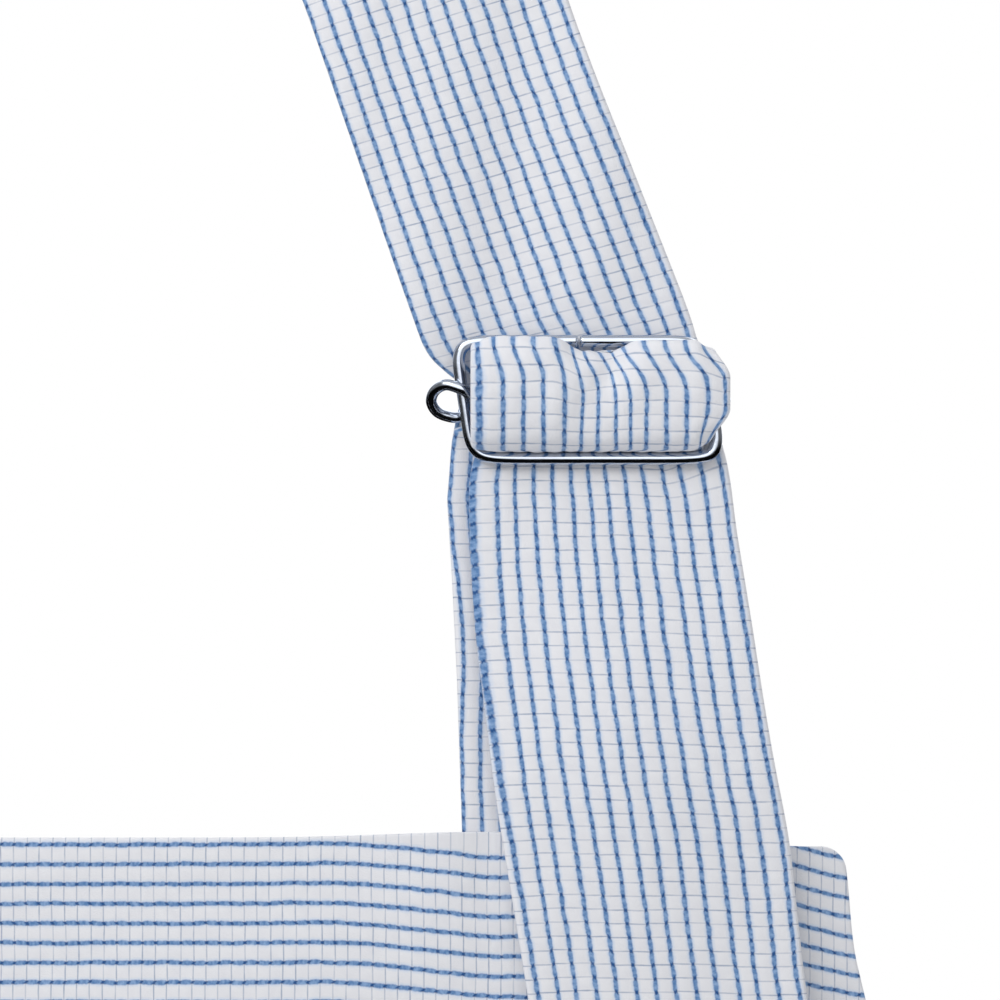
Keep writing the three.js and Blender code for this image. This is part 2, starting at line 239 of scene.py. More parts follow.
def wire(name, line, radius, sides=28):
    """Round wire along a line, with slightly rounded cut ends."""
    ahead = np.gradient(line, axis=0)
    ahead /= np.linalg.norm(ahead, axis=1)[:, None]
    up = np.cross(ahead[0], [0.0, 1.0, 0.0])
    ups = []
    for direction in ahead:
        up = up - direction * (up @ direction)
        up /= np.linalg.norm(up)
        ups.append(up)
    ups = np.array(ups)
    across = np.cross(ahead, ups)
    turn = np.linspace(0, 2 * math.pi, sides + 1)
    ring = ups[:, None] * np.cos(turn)[None, :, None] + across[:, None] * np.sin(turn)[None, :, None]
    grown = np.full(len(line), radius)
    grown[[0, -1]] = 0.82 * radius
    places = line[:, None] + ring * grown[:, None, None]
    return grid_object(name, places, closed=True)


chromed = bpy.data.materials.new("chromed_wire")
chromed.use_nodes = True
tree = chromed.node_tree
metal = tree.nodes["Principled BSDF"]
metal.inputs["Metallic"].default_value = 1
metal.inputs["Base Color"].default_value = linear("#C6CCD6")
place = node(tree, "TexCoord").outputs["Object"]
drawn = node(tree, "Mapping", {"Vector": place, "Scale": (300, 2600, 2600)}).outputs[0]
streak = node(tree, "TexNoise", {"Vector": drawn, "Scale": 1.0, "Detail": 2}).outputs[0]
tree.links.new(ramp(tree, streak, 0.35, 0.7, 0.09, 0.2), metal.inputs["Roughness"])
dents = node(tree, "TexNoise", {"Vector": place, "Scale": 420, "Detail": 2}).outputs[0]
uneven = node(tree, "Bump", {"Height": dents, "Strength": 0.15, "Distance": 0.0002}).outputs[0]
tree.links.new(uneven, metal.inputs["Normal"])

corner = 0.003
half_gap = 0.0002
outline = [(half_gap, frame_bar)]
for x, z in ((1, 1), (1, -1), (-1, -1), (-1, 1)):
    turns = [(x * (frame_half - corner), z * frame_bar), (x * frame_half, z * (frame_bar - corner))]
    middle = (x * (frame_half - corner * 0.29), z * (frame_bar - corner * 0.29))
    outline += [turns[0], middle, turns[1]] if x * z > 0 else [turns[1], middle, turns[0]]
outline.append((-half_gap, frame_bar))
dense = []
for a, b in zip(outline, outline[1:]):
    steps = 3 if math.dist(a, b) < 0.004 else 12
    dense += [np.array(a) + (np.array(b) - a) * i / steps for i in range(steps)]
dense = np.array(dense + [np.array(outline[-1])])
for _ in range(3):
    dense[1:-1] = 0.25 * dense[:-2] + 0.5 * dense[1:-1] + 0.25 * dense[2:]
racked = np.stack([dense[:, 0] - frame_rack * dense[:, 1], 0 * dense[:, 0], dense[:, 1]], 1)
slider = wire("buckle_frame_wire", spline(racked, 330) + buckle, frame_wire)

s = frame_half
bar_points = np.array([
    [-s, 0.0024, -0.0027], [-s - 0.002, 0.0021, -0.0027], [-s - 0.0042, 0.0015, -0.0019],
    [-s - 0.0052, 0.0004, -0.0002], [-s - 0.0046, -0.0008, 0.0015],
    [-s - 0.0028, -0.0018, 0.0024], [-s - 0.0004, -0.0022, 0.0017],
    [-s + 0.0015, -0.0014, 0.0007], [-s + 0.003, -0.0001, 0], [-s + 0.006, 0, 0], [0, 0, 0],
    [s - 0.006, 0, 0], [s - 0.003, -0.0001, 0], [s - 0.0016, -0.0015, 0], [s, -0.0022, 0],
    [s + 0.0019, -0.0011, 0], [s + 0.0022, 0.0006, 0], [s + 0.001, 0.002, 0],
    [s - 0.0006, 0.0024, 0],
])
centre_bar = wire("buckle_centre_bar", spline(bar_points, 300) + buckle, bar_wire)

for piece, body, cad in (
    (slider, "buckle_frame", "slider_frame"),
    (centre_bar, "buckle_bar", "slider_bar"),
):
    piece.data.materials.append(chromed)
    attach(piece, body)
    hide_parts(cad)

# ---- Striped cotton: white with blue stripes 2.95 mm apart and fine cross lines,
# puffed between them like small cushions. All the cloth pieces are cut from it.
stripe_pitch = 0.00295
cross_pitch = 0.0022

cotton = bpy.data.materials.new("striped_cotton")
cotton.use_nodes = True
tree = cotton.node_tree
fabric = tree.nodes["Principled BSDF"]
weave_map = node(tree, "UVMap", uv_map="weave").outputs[0]
parted = node(tree, "SeparateXYZ", {0: weave_map})
fold_width = node(tree, "Attribute", attribute_name="folded").outputs["Fac"]
stripe_count, cross_count = parted.outputs[0], parted.outputs[1]
wander = node(tree, "TexNoise", {"Vector": weave_map, "Scale": 0.45, "Detail": 1}).outputs[0]
wavy = maths(tree, "MULTIPLY_ADD", wander, 0.16, -0.08)
rib = maths(tree, "FLOOR", stripe_count)
step = maths(tree, "MULTIPLY", maths(tree, "SINE", maths(tree, "MULTIPLY", rib, 7.3)), 0.09)
shifted = maths(tree, "MULTIPLY_ADD", wavy, 0.8, maths(tree, "ADD", cross_count, step))
from_stripe = maths(tree, "PINGPONG", maths(tree, "ADD", stripe_count, wavy), 0.5)
from_cross = maths(tree, "PINGPONG", shifted, 0.5)

edge_noise = node(tree, "TexNoise", {"Vector": weave_map, "Scale": 2.6, "Detail": 3}).outputs[0]
ragged = maths(tree, "MULTIPLY_ADD", edge_noise, 0.10, -0.05)
# The first stripe lies on the folded edge, where it looks wider.
on_fold = maths(tree, "MULTIPLY", fold_width, ramp(tree, stripe_count, 0.4, 0.5, 1, 0))
from_stripe = maths(tree, "MULTIPLY", from_stripe, maths(tree, "SUBTRACT", 1.0, on_fold))
knot = ramp(tree, maths(tree, "ADD", from_cross, ragged), 0.04, 0.2, 1, 0)
near_stripe = maths(tree, "ADD", from_stripe, ragged)
near_stripe = maths(tree, "MULTIPLY_ADD", knot, 0.03, near_stripe)
stripe_mask = ramp(tree, near_stripe, 0.07, 0.165, 1, 0)
fringe = ramp(tree, near_stripe, 0.12, 0.3, 0.5, 0)
cross_mask = ramp(tree, maths(tree, "MULTIPLY_ADD", ragged, 0.5, from_cross), 0.01, 0.085, 1, 0)
uneven_dye = node(tree, "TexNoise", {"Vector": weave_map, "Scale": 0.5, "Detail": 2}).outputs[0]
cross_mask = maths(tree, "MULTIPLY", cross_mask, ramp(tree, uneven_dye, 0.38, 0.66, 0.45, 1))

speck = node(tree, "TexNoise", {"Vector": weave_map, "Scale": 3.2, "Detail": 3}).outputs[0]
blue = blend_colour(tree, ramp(tree, speck, 0.3, 0.75), linear("#5A82B4"), linear("#93B1D8"))
blue = blend_colour(tree, maths(tree, "MULTIPLY", knot, 0.9), blue, linear("#1D4C86"))
tint = node(tree, "TexNoise", {"Vector": weave_map, "Scale": 0.8, "Detail": 3}).outputs[0]
white = blend_colour(tree, tint, linear("#E3E3E8"), linear("#F1F1F3"))
white = blend_colour(tree, fringe, white, linear("#C3D5EE"))
white = blend_colour(tree, cross_mask, white, linear("#A9B3C6"))
tree.links.new(blend_colour(tree, stripe_mask, white, blue), fabric.inputs["Base Color"])
fabric.inputs["Roughness"].default_value = 0.92
fabric.inputs["Sheen Weight"].default_value = 0.12
fabric.inputs["Sheen Roughness"].default_value = 0.5
fabric.inputs["Specular IOR Level"].default_value = 0.2

ribbed = node(tree, "Attribute", attribute_name="ribbed").outputs["Fac"]
pillow = maths(tree, "MULTIPLY", ramp(tree, from_stripe, 0.02, 0.4), ramp(tree, from_cross, 0, 0.3, 0.5, 1))
pillow = maths(tree, "MULTIPLY", pillow, maths(tree, "SUBTRACT", 1.0, ribbed))
fibre_map = node(tree, "Mapping", {"Vector": weave_map, "Scale": (9, 3, 1)}).outputs[0]
fibre = node(tree, "TexNoise", {"Vector": fibre_map, "Scale": 1.6, "Detail": 4}).outputs[0]
relief = maths(tree, "MULTIPLY_ADD", fibre, 0.35, pillow)
relief = maths(tree, "MULTIPLY_ADD", stripe_mask, maths(tree, "MULTIPLY", knot, 0.35), relief)
raised = node(tree, "Bump", {"Height": relief, "Strength": 0.7, "Distance": 0.0003}).outputs[0]
tree.links.new(raised, fabric.inputs["Normal"])


def cushions(stripes, crosses):
    """How far the cloth puffs out, 0 at the stripes and 1 between them."""
    crosses = crosses + 0.09 * np.sin(7.3 * np.floor(stripes))
    across = np.abs(np.sin(math.pi * stripes)) ** 0.6
    along = np.abs(np.sin(math.pi * crosses)) ** 0.7
    uneven = 1 + 0.16 * np.sin(17.1 * np.floor(stripes) + 5.7 * np.floor(crosses))
    bead = 0.45 * (1 - smooth(np.abs(stripes - np.rint(stripes)), 0.05, 0.2))
    return across * (0.62 + 0.38 * along) * uneven + bead * (0.5 + 0.5 * (1 - along))


def counted(shares, at):
    """The stripe count across a strap, for the shares from 0 to 1 where its stripes lie."""
    first, last = at[1] - at[0], at[-1] - at[-2]
    at = [at[0] - first, *at, at[-1] + last]
    return np.interp((shares + 1) / 2, at, np.arange(-1, len(at) - 1))


def spread(count, crowding=0.5):
    """Shares from -1 to 1, closer together near both ends."""
    s = np.linspace(-1, 1, count)
    return (1 - crowding) * s + crowding * np.sin(s * math.pi / 2)


def quilted(
    name, middle, half, puff, stripes, crosses, ribs=1.0, rounding=0.0009, back_step=0, folded=0.0,
):
    """A closed piece of padded cloth around its middle surface of rows and columns."""
    normal = np.cross(np.gradient(middle, axis=0), np.gradient(middle, axis=1))
    normal /= np.maximum(np.linalg.norm(normal, axis=2), 1e-12)[..., None]
    room = []
    for axis in (0, 1):
        gaps = np.linalg.norm(np.diff(middle, axis=axis), axis=2)
        run = np.cumsum(gaps, axis=axis)
        run = np.concatenate([np.zeros_like(np.take(run, [0], axis)), run], axis)
        room.append(np.minimum(run, np.take(run, [-1], axis) - run))
    inside = np.clip(1 - np.minimum(*room) / rounding, 0, 1)
    edge = np.sqrt(1 - inside ** 2)
    ribs = np.broadcast_to(ribs, stripes.shape)
    raised = puff * (ribs * cushions(stripes, crosses) + 0.6 * (1 - ribs))
    front = middle + normal * (edge * (half + raised))[..., None]
    back = middle - normal * (edge * (half + raised + back_step))[..., None]
    places = np.concatenate([front, back[:, -2::-1]], 1)
    weave = np.stack([stripes, crosses, ribs, np.broadcast_to(folded, ribs.shape)], 2)
    made = grid_object(name, places, np.concatenate([weave, weave[:, -2::-1]], 1))
    made.data.materials.append(cotton)
    return made


# ---- Panel: bib and skirt in one piece of cloth, 0.67 by 0.87 m, hemmed all round on
# the back. It hangs flat at the bib and falls in soft folds below.
panel_low, panel_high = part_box("apron_panel")
panel_height = panel_high.z - panel_low.z
bib_height = 0.3
bib_half = 0.141
skirt_half = panel_high.x


def half_width(depth):
    """Half of the panel's width at a depth below its top edge."""
    t = np.clip(depth / bib_height, 0, 1)
    wide = bib_half + (skirt_half - bib_half) * (0.35 * t + 0.65 * t ** 3)
    waisted = 0.002 * smooth(depth, 0, 0.02) * (1 - smooth(depth, 0.06, 0.16))
    corner = np.clip(0.0035 - depth, 0, 0.0035)
    return wide - waisted - (0.0035 - np.sqrt(0.0035 ** 2 - corner ** 2))


def fold_at(share, depth):
    """How far the skirt's folds stand out, for a share from 0 to 1 across."""
    fallen = np.clip((depth - 0.13) / (panel_height - 0.13), 0, 1)
    edge = 1 - np.abs(2 * share - 1) ** 6
    turns = 2 * math.pi * 3.5 * (share - 0.5) + 1.1 * fallen
    return 0.015 * fallen ** 1.4 * edge * np.sin(turns)


fine_to = 0.034
depths = np.concatenate([
    [0, 0.00015, 0.0004, 0.0008],
    np.arange(0.0013, fine_to, 0.0006),
    fine_to + (panel_height - 0.0012 - fine_to) * np.linspace(0, 1, 130) ** 1.25,
    panel_height - np.array([0.0008, 0.0004, 0.00015, 0]),
])
columns = np.concatenate([
    [-1, -0.999, -0.997, -0.994],
    np.linspace(-0.99, -0.02, 44),
    np.arange(-0.015, 0.99, 0.0048),
    [0.993, 0.996, 0.998, 0.999, 1],
])
depth, share = np.meshgrid(depths, columns, indexing="ij")
x = share * half_width(depth)
crest = 0.0009 * np.exp(-((x - 0.082) / 0.02) ** 2) - 0.0016 * smooth(x, 0.115, 0.137)
z = bib_top - depth + crest * (1 - smooth(depth, 0.0, 0.06))
y = fold_at((share + 1) / 2, depth)
near_tab = np.exp(-((x - 0.0835) / 0.0035) ** 2) * np.exp(-depth / 0.016)
y += 0.0008 * near_tab - 0.0006 * np.exp(-((x - 0.075) / 0.008) ** 2) * np.exp(-depth / 0.02)
y += 0.0004 * np.sin(70 * x + 45 * depth) * smooth(depth, 0, 0.02)
y += 0.0055 * smooth(x, 0.125, 0.146) * (1 - smooth(depth, 0.04, 0.1))
beside = x - buckle[0]
sag = 0.0028 * smooth(beside, -0.044, -0.012) * (1 - smooth(beside, -0.01, 0.01))
sag += 0.0052 * smooth(beside, 0.021, 0.05) + 0.0005 * near_tab
bib_stripes = (depth - sag * (1 - smooth(depth, 0.05, 0.12)) - 0.0011) / 0.00315
bib_stripes = np.where(beside < 0, np.maximum(bib_stripes, -0.5), bib_stripes)
bib_crosses = share * half_width(depth) / 0.00205
fine = (1 - smooth(depth, fine_to - 0.006, fine_to)) * smooth(share, -0.03, 0.0)
edge_near = np.minimum(depth, np.minimum(panel_height - depth, half_width(depth) - np.abs(x)))
hem = 0.0003 * (1 - smooth(edge_near, 0.0115, 0.0122))
panel = quilted(
    "apron_panel_cloth", np.stack([x, y, z], 2), 0.00042, 0.00024,
    bib_stripes, bib_crosses, fine, 0.0007, hem,
)
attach(panel, "apron")
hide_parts("apron_panel")

# ---- Neck strap: a 40 mm strip, doubled and stitched. It is sewn behind the bib's left
# corner, turns on edge over the hanging point and comes down flat behind the buckle.
strap_half = 0.02
behind_bar = 0.0021
behind_bib = 0.0017
peg = np.array([0, behind_bar, -0.014])
peg_radius = 0.0148
lean = math.radians(20.7)
reach = math.hypot(buckle[0], bib_top - peg[2])
left_lean = math.atan2(buckle[0], peg[2] - bib_top) - math.asin(peg_radius / reach)
level_part = 0.095


def over_peg(angle):
    """A point of the strap's middle line on its arc over the hanging point."""
    return peg + peg_radius * np.array([math.sin(angle), 0, math.cos(angle)])


left_foot = np.array([-buckle[0] - 0.03 * math.tan(left_lean), behind_bib, bib_top - 0.03])
left_top = over_peg(left_lean - math.pi / 2)
right_top = over_peg(math.pi / 2 - lean)
right_foot = buckle + [0.0015 - 0.0134 * math.tan(lean), behind_bar, 0.0134]

left_run = np.linspace(0, 1, 250)[:, None]
arc = np.linspace(left_lean - math.pi / 2, math.pi / 2 - lean, 30)[1:-1]
right_length = np.linalg.norm(right_foot - right_top)
right_run = np.arange(0, right_length - level_part, 0.0013)[:, None] / right_length
line = np.vstack([
    left_foot + (left_top - left_foot) * left_run,
    [over_peg(angle) for angle in arc],
    right_top + (right_foot - right_top) * right_run,
])
ahead = np.gradient(line, axis=0)
ahead /= np.linalg.norm(ahead, axis=1)[:, None]
from_left = np.linalg.norm(line - left_foot, axis=1)
from_right = np.linalg.norm(line - right_foot, axis=1)
turned = np.minimum(
    smooth(from_left, level_part, np.linalg.norm(left_top - left_foot)),
    smooth(from_right, level_part, right_length),
)
turned[len(left_run):len(left_run) + len(arc)] = 1
flat_way = np.stack([-ahead[:, 2], 0 * turned, ahead[:, 0]], 1)
quarter = turned[:, None] * math.pi / 2
across = flat_way * np.cos(quarter) + np.array([0, 1, 0]) * np.sin(quarter)
far_left = line - across * strap_half
far_right = line + across * strap_half
# Down to the buckle the two edges follow points listed one by one: the left one hangs out past the
# frame's side and tucks in behind it.
near_left = buckle + np.array([
    [-0.0441, behind_bar, 0.0597], [-0.0361, behind_bar, 0.0366], [-0.0281, behind_bar, 0.0136],
    [-0.0257, 0.0022, 0.0077], [-0.0228, 0.0026, 0.0046], [-0.0192, 0.0028, 0.0018],
    [-0.0168, 0.0026, -0.0006],
])
near_right = buckle + np.array([
    [-0.0015, behind_bar, 0.0597], [0.0069, behind_bar, 0.0381], [0.0154, behind_bar, 0.0165],
    [0.0177, behind_bar, 0.0096], [0.0187, 0.0022, 0.0078], [0.0192, 0.0022, 0.0064],
    [0.0194, 0.0022, 0.0056],
])
near_rows = np.linspace(0, 1, 175)[1:]
edges = []
for far, near in ((far_left, near_left), (far_right, near_right)):
    led = spline(np.vstack([far[-60], far[-1], near]), 900)
    start = np.argmin(np.linalg.norm(led - far[-1], axis=1))
    led = led[start:]
    at = near_rows * (len(led) - 1)
    near_edge = np.stack([np.interp(at, range(len(led)), led[:, i]) for i in range(3)], 1)
    edges.append(np.vstack([far, near_edge]))
left_edge, right_edge = edges
strap_columns = 83
strap_middle = strap_columns // 2
seam_in = 0.00035
strap_shares = spread(strap_columns)
share = (strap_shares[None, :, None] + 1) / 2
middle = left_edge[:, None] * (1 - share) + right_edge[:, None] * share
run = np.append(0, np.cumsum(np.linalg.norm(np.diff(middle[:, strap_middle], axis=0), axis=1)))
run -= run[-1]
from_edge = strap_shares * strap_half + strap_half - seam_in
stripes = np.broadcast_to(from_edge / stripe_pitch, middle.shape[:2])
crosses = np.broadcast_to(run[:, None] / cross_pitch, stripes.shape)
soft = 0.0004 * np.sin(130 * run[:, None] + 10.8 * share[..., 0])
soft = soft + 0.0005 * np.sin(2.4 * share[..., 0] * math.pi + 60 * run[:, None])
middle[..., 1] += soft * smooth(-run[:, None], 0.004, 0.02)
# Behind the top bar the strap dips back before it comes forward over the buckle's bar.
dip = smooth(buckle[2] + 0.0098 - middle[..., 2], 0, 0.0035) * smooth(middle[..., 0], 0, 0.05)
dip = dip * smooth(share[..., 0], 0.25, 0.42) * (1 - smooth(share[..., 0], 0.72, 0.9))
middle[..., 1] += 0.0045 * dip
near_buckle = 1 - smooth(-run, 0.07, 0.1)[:, None]
neck = quilted(
    "neck_strap_cloth", middle, 0.00042, 0.0002 + 0.00013 * near_buckle, stripes, crosses,
    np.broadcast_to(near_buckle, stripes.shape),
)
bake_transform(neck)
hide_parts("neck_strap")

# ---- Roll: the strap where it turns over the buckle's bar, in front of the frame. It is
# drawn together between the frame's sides and bulges out over its top bar at the left.
front_bulge = 0.002
middle_turn = [
    (2.1, 9.4), (2.7, 8.7), (3.0, 8.0), (2.3, 7.1), (0.4, 6.6), (-2.0, 7.2), (-3.7, 6.3),
    (-4.6, 4.2), (-4.9, 0.2), (-4.6, -3.2), (-3.8, -6.0), (-2.0, -7.4), (0.2, -7.6), (1.5, -8.1),
    (2.0, -8.8), (2.1, -9.6),
]
lobe_turn = [
    (2.1, 9.4), (1.8, 8.5), (1.1, 7.7), (0.2, 7.1), (-1.5, 7.4), (-2.7, 8.9), (-4.2, 9.3),
    (-5.6, 7.2), (-6.2, 3.0), (-5.9, -1.5), (-4.7, -5.6), (-2.4, -7.4), (0.2, -7.6), (1.5, -8.1),
    (2.0, -8.7), (2.1, -9.6),
]
left_turn = [
    (2.4, 7.0), (2.1, 6.0), (1.5, 5.2), (0.4, 5.0), (-1.6, 5.8), (-3.2, 7.4), (-4.2, 8.4),
    (-5.4, 6.8), (-5.8, 3.0), (-5.4, -1.5), (-4.4, -5.2), (-2.2, -7.1), (0.2, -7.5), (1.4, -8.0),
    (2.0, -8.7), (2.1, -9.6),
]
right_lobe_turn = [
    (2.1, 9.4), (1.8, 8.5), (1.2, 7.7), (0.3, 7.1), (-1.3, 7.2), (-2.6, 8.3), (-3.9, 8.8),
    (-5.0, 6.9), (-5.5, 3.0), (-5.2, -1.4), (-4.4, -5.4), (-2.3, -7.3), (0.2, -7.6), (1.5, -8.1),
    (2.0, -8.7), (2.1, -9.6),
]
right_turn = [
    (2.0, 8.6), (1.8, 8.0), (1.2, 7.3), (0.3, 6.9), (-1.2, 6.9), (-2.6, 7.5), (-3.7, 6.8),
    (-4.4, 5.0), (-4.6, 1.5), (-4.4, -2.2), (-3.6, -4.8), (-1.8, -6.4), (0.2, -7.1), (1.4, -7.9),
    (2.0, -8.7), (2.1, -9.6),
]
turn_rows = 190
paths = [spline(points, turn_rows) * 0.001 for points in (
    middle_turn, lobe_turn, left_turn, right_lobe_turn, right_turn,
)]
shares = spread(strap_columns)
lobe = 1 - smooth(shares, -0.38, -0.14)
right_lobe = smooth(shares, 0.04, 0.32)
far_left_end = 1 - smooth(shares, -1.0, -0.84)
far_right_end = smooth(shares, 0.72, 1.0)
weights = np.stack([
    1 - lobe - right_lobe, lobe * (1 - far_left_end), lobe * far_left_end,
    right_lobe * (1 - far_right_end), right_lobe * far_right_end,
])
weights = weights / weights.sum(0)
profile = sum(path[:, None] * weight[None, :, None] for path, weight in zip(paths, weights))
y, z = profile[..., 0], profile[..., 1]
in_front = smooth(-y, 0.0006, 0.0024)
between = -frame_rack * np.clip(z, -frame_bar, frame_bar)
centre = between * (1 - in_front) + front_bulge * in_front
half_across = 0.0176 + 0.0031 * in_front
x = centre + shares[None] * half_across
rounded = 0.0030 * smooth(z, 0.0035, 0.0095) + 0.0030 * smooth(-z, 0.0014, 0.0070)
x -= in_front * smooth(shares, 0.66, 1.0) * rounded
# The gathered cloth folds from the upper left to the lower right.
fan = np.sin(2 * math.pi * (x / 0.0105 - z / 0.017) + 0.6)
wrinkle = 0.00055 * fan * np.exp(-((x - 0.002) / 0.0085) ** 2) * smooth(z, -0.006, 0.005)
pinch = 0.0007 * np.exp(-((x - 0.0035) / 0.0035) ** 2) * smooth(z, 0.001, 0.0065)
y = y + (wrinkle + pinch) * in_front
z = z - 0.6 * pinch * in_front
middle = np.stack([x, y, z], 2) + buckle
run = np.append(0, np.cumsum(np.linalg.norm(np.diff(middle[:, strap_middle], axis=0), axis=1)))
roll_stripes = [
    0.037, 0.125, 0.203, 0.281, 0.359, 0.427, 0.49, 0.563, 0.617, 0.675, 0.753, 0.831, 0.909, 0.978,
]
dragged = 0.04 * smooth(z, 0.003, 0.0092) * smooth(shares, -1, -0.8)
dragged += 0.045 * smooth(z, 0.0005, 0.0085) * smooth(shares, -0.35, 0) * (1 - 0.8 * smooth(shares, 0.6, 1))
stripes = counted(shares + 2 * dragged * in_front, roll_stripes)
crosses = run[:, None] / cross_pitch + 200 * wrinkle
roll = quilted("buckle_roll_cloth", middle, 0.00045, 0.00036, stripes, crosses, folded=0.28)
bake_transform(roll)
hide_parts("strap_roll")

# ---- Free end: the same strap coming out behind the lower bar and lying over the front
# of the bib. Its end is turned up and stitched.
tail_left_edge = np.array([
    (7.9, -17.6), (9.2, -18.2), (11.2, -19.1), (25.6, -18.8), (38.4, -17.9), (45.2, -17), (53.8, -15.9),
    (60.8, -15.1), (70.7, -13.6), (76.5, -12.6), (91.2, -10.2), (120, -5.8), (200, 6.2),
]).T * 0.001
tail_right_edge = np.array([
    (9.2, 20.4), (10.4, 21.6), (13.8, 22.8), (26.9, 24.9), (37, 26.5), (47.2, 28), (57.4, 29.7),
    (70, 32.2), (91.2, 34.5), (120, 38.4), (200, 49.6),
]).T * 0.001
rows = np.concatenate([np.arange(0.0079, 0.199, 0.00056), [0.1994, 0.1998, 0.2]])
left_x = np.interp(rows, *tail_left_edge)
right_x = np.interp(rows, *tail_right_edge)
for _ in range(40):
    left_x[1:-1] = 0.25 * left_x[:-2] + 0.5 * left_x[1:-1] + 0.25 * left_x[2:]
    right_x[1:-1] = 0.25 * right_x[:-2] + 0.5 * right_x[1:-1] + 0.25 * right_x[2:]
shares = spread(strap_columns)
share = (shares[None] + 1) / 2
x = left_x[:, None] * (1 - share) + right_x[:, None] * share
z = -rows[:, None] + 0.0042 * smooth(share, 0.75, 1.0) * (1 - smooth(rows, 0.009, 0.022)[:, None])
y = 0.0021 - 0.0046 * smooth(rows, 0.012, 0.066)[:, None] + 0 * x
y -= 0.0009 * np.exp(-((shares[None] + 0.1) / 0.5) ** 2) * smooth(rows, 0.01, 0.03)[:, None]
y += 0.0006 * np.sin(3.1 * share + 55 * rows[:, None]) * smooth(rows, 0.015, 0.04)[:, None]
middle = np.stack([x, y, z], 2) + buckle
tail_stripes = [
    0.013, 0.108, 0.175, 0.25, 0.322, 0.394, 0.463, 0.531, 0.605, 0.676, 0.757, 0.823, 0.899, 0.972,
]
lower = smooth(rows, 0.03, 0.09)[:, None]
stripes = counted(shares, tail_stripes)[None] - 0.3 * lower * (1 - smooth(share, 0, 0.15))
crosses = rows[:, None] / cross_pitch + 0 * x + 0.12 * np.sin(5 * share)
tail = quilted(
    "strap_tail_cloth", middle, 0.00042, 0.00034, stripes, crosses, folded=0.32 * (1 - lower),
)
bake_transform(tail)
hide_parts("strap_tail_upper", "strap_tail_end")

# ---- Tab: a short piece of the same strap, looped round the bar. Both of its layers are
# sewn behind the top edge of the bib.
tab_line = np.array([
    (1.7, -100), (1.7, -70), (2.0, -58), (3.0, -38), (4.2, -20), (4.3, -9.4), (3.5, -6.0),
    (1.7, -3.7), (-1.1, -1.7), (-2.05, 0), (-1.44, 1.44), (0, 2.05), (1.64, 1.33), (3.6, -1.8),
    (5.3, -5.8), (6.2, -9.4), (6.2, -20), (5.0, -38), (3.9, -58), (3.65, -70), (3.65, -100),
]) * 0.001
line = spline(tab_line, 330)
below = np.maximum(smooth(line[:, 0], 0.0016, 0.0026), smooth(-line[:, 1], 0.01, 0.015))
tab_half = 0.016 + 0.004 * below
stand = [-0.0001, -0.0001, -0.0009, -0.0017, -0.0025, -0.0018, -0.0011, 0.0]
tab_centre = np.interp(line[:, 1], [-0.1, -0.069, -0.045, -0.029, -0.016, -0.007, -0.003, 0.001], stand)
shares = spread(72)
x = tab_centre[:, None] + shares[None] * tab_half[:, None]
y = line[:, :1] + 0 * x
z = line[:, 1:] + 0 * x
y += 0.0003 * np.sin(4 * shares[None] + 90 * z) * below[:, None]
middle = np.stack([x, y, z], 2) + buckle
run = np.append(0, np.cumsum(np.linalg.norm(np.diff(line, axis=0), axis=1)))
margin = seam_in + 0.00095 * np.exp(-((line[:, 1:] + 0.038) / 0.012) ** 2)
stripes = (shares[None] * strap_half + strap_half - margin) / stripe_pitch
crosses = run[:, None] / cross_pitch + 0 * x
tab = quilted("strap_tab_cloth", middle, 0.00042, 0.00028, stripes, crosses)
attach(tab, "apron")
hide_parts("strap_tab")

# ---- Waist ties: two strips of the apron's own cloth, sewn behind the panel's corners
# at the waist and hanging beside it.
tie_length = 0.83
tie_half = 0.016
tie_seam_in = 0.0012
for side, body, name, cad in (
    (-1, "tie_left", "waist_tie_left_cloth", "waist_tie_left"),
    (1, "tie_right", "waist_tie_right_cloth", "waist_tie_right"),
):
    low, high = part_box(cad)
    top = joints["tie_swing_left"]["pos_m"][2]
    seat = (low.y + high.y) / 2
    line = spline(np.array([
        (0.313, top + 0.006), (0.331, top - 0.003), (0.349, top - 0.018), (0.36, top - 0.052),
        (0.361, top - 0.11), (0.36, top - 0.5 * tie_length), (0.36, top - tie_length),
    ]), 240)
    ahead = np.gradient(line, axis=0)
    ahead /= np.linalg.norm(ahead, axis=1)[:, None]
    shares = spread(34)
    reach = shares[None] * tie_half
    x = side * (line[:, :1] + ahead[:, 1:] * reach)
    z = line[:, 1:] - ahead[:, :1] * reach
    hang = smooth(top - z, 0.05, 0.3)
    y = seat + 0.0005 * np.sin(22 * z + 3 * shares[None] * side) * hang
    middle = np.stack([x, y, z], 2)
    run = np.append(0, np.cumsum(np.linalg.norm(np.diff(line, axis=0), axis=1)))
    from_edge = shares * tie_half + tie_half - tie_seam_in
    stripes = np.broadcast_to(from_edge / stripe_pitch, x.shape)
    crosses = run[:, None] / cross_pitch + 0 * x
    tie = quilted(name, middle, 0.0004, 0.00025, stripes, crosses, 0.0)
    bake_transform(tie)
    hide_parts(cad)

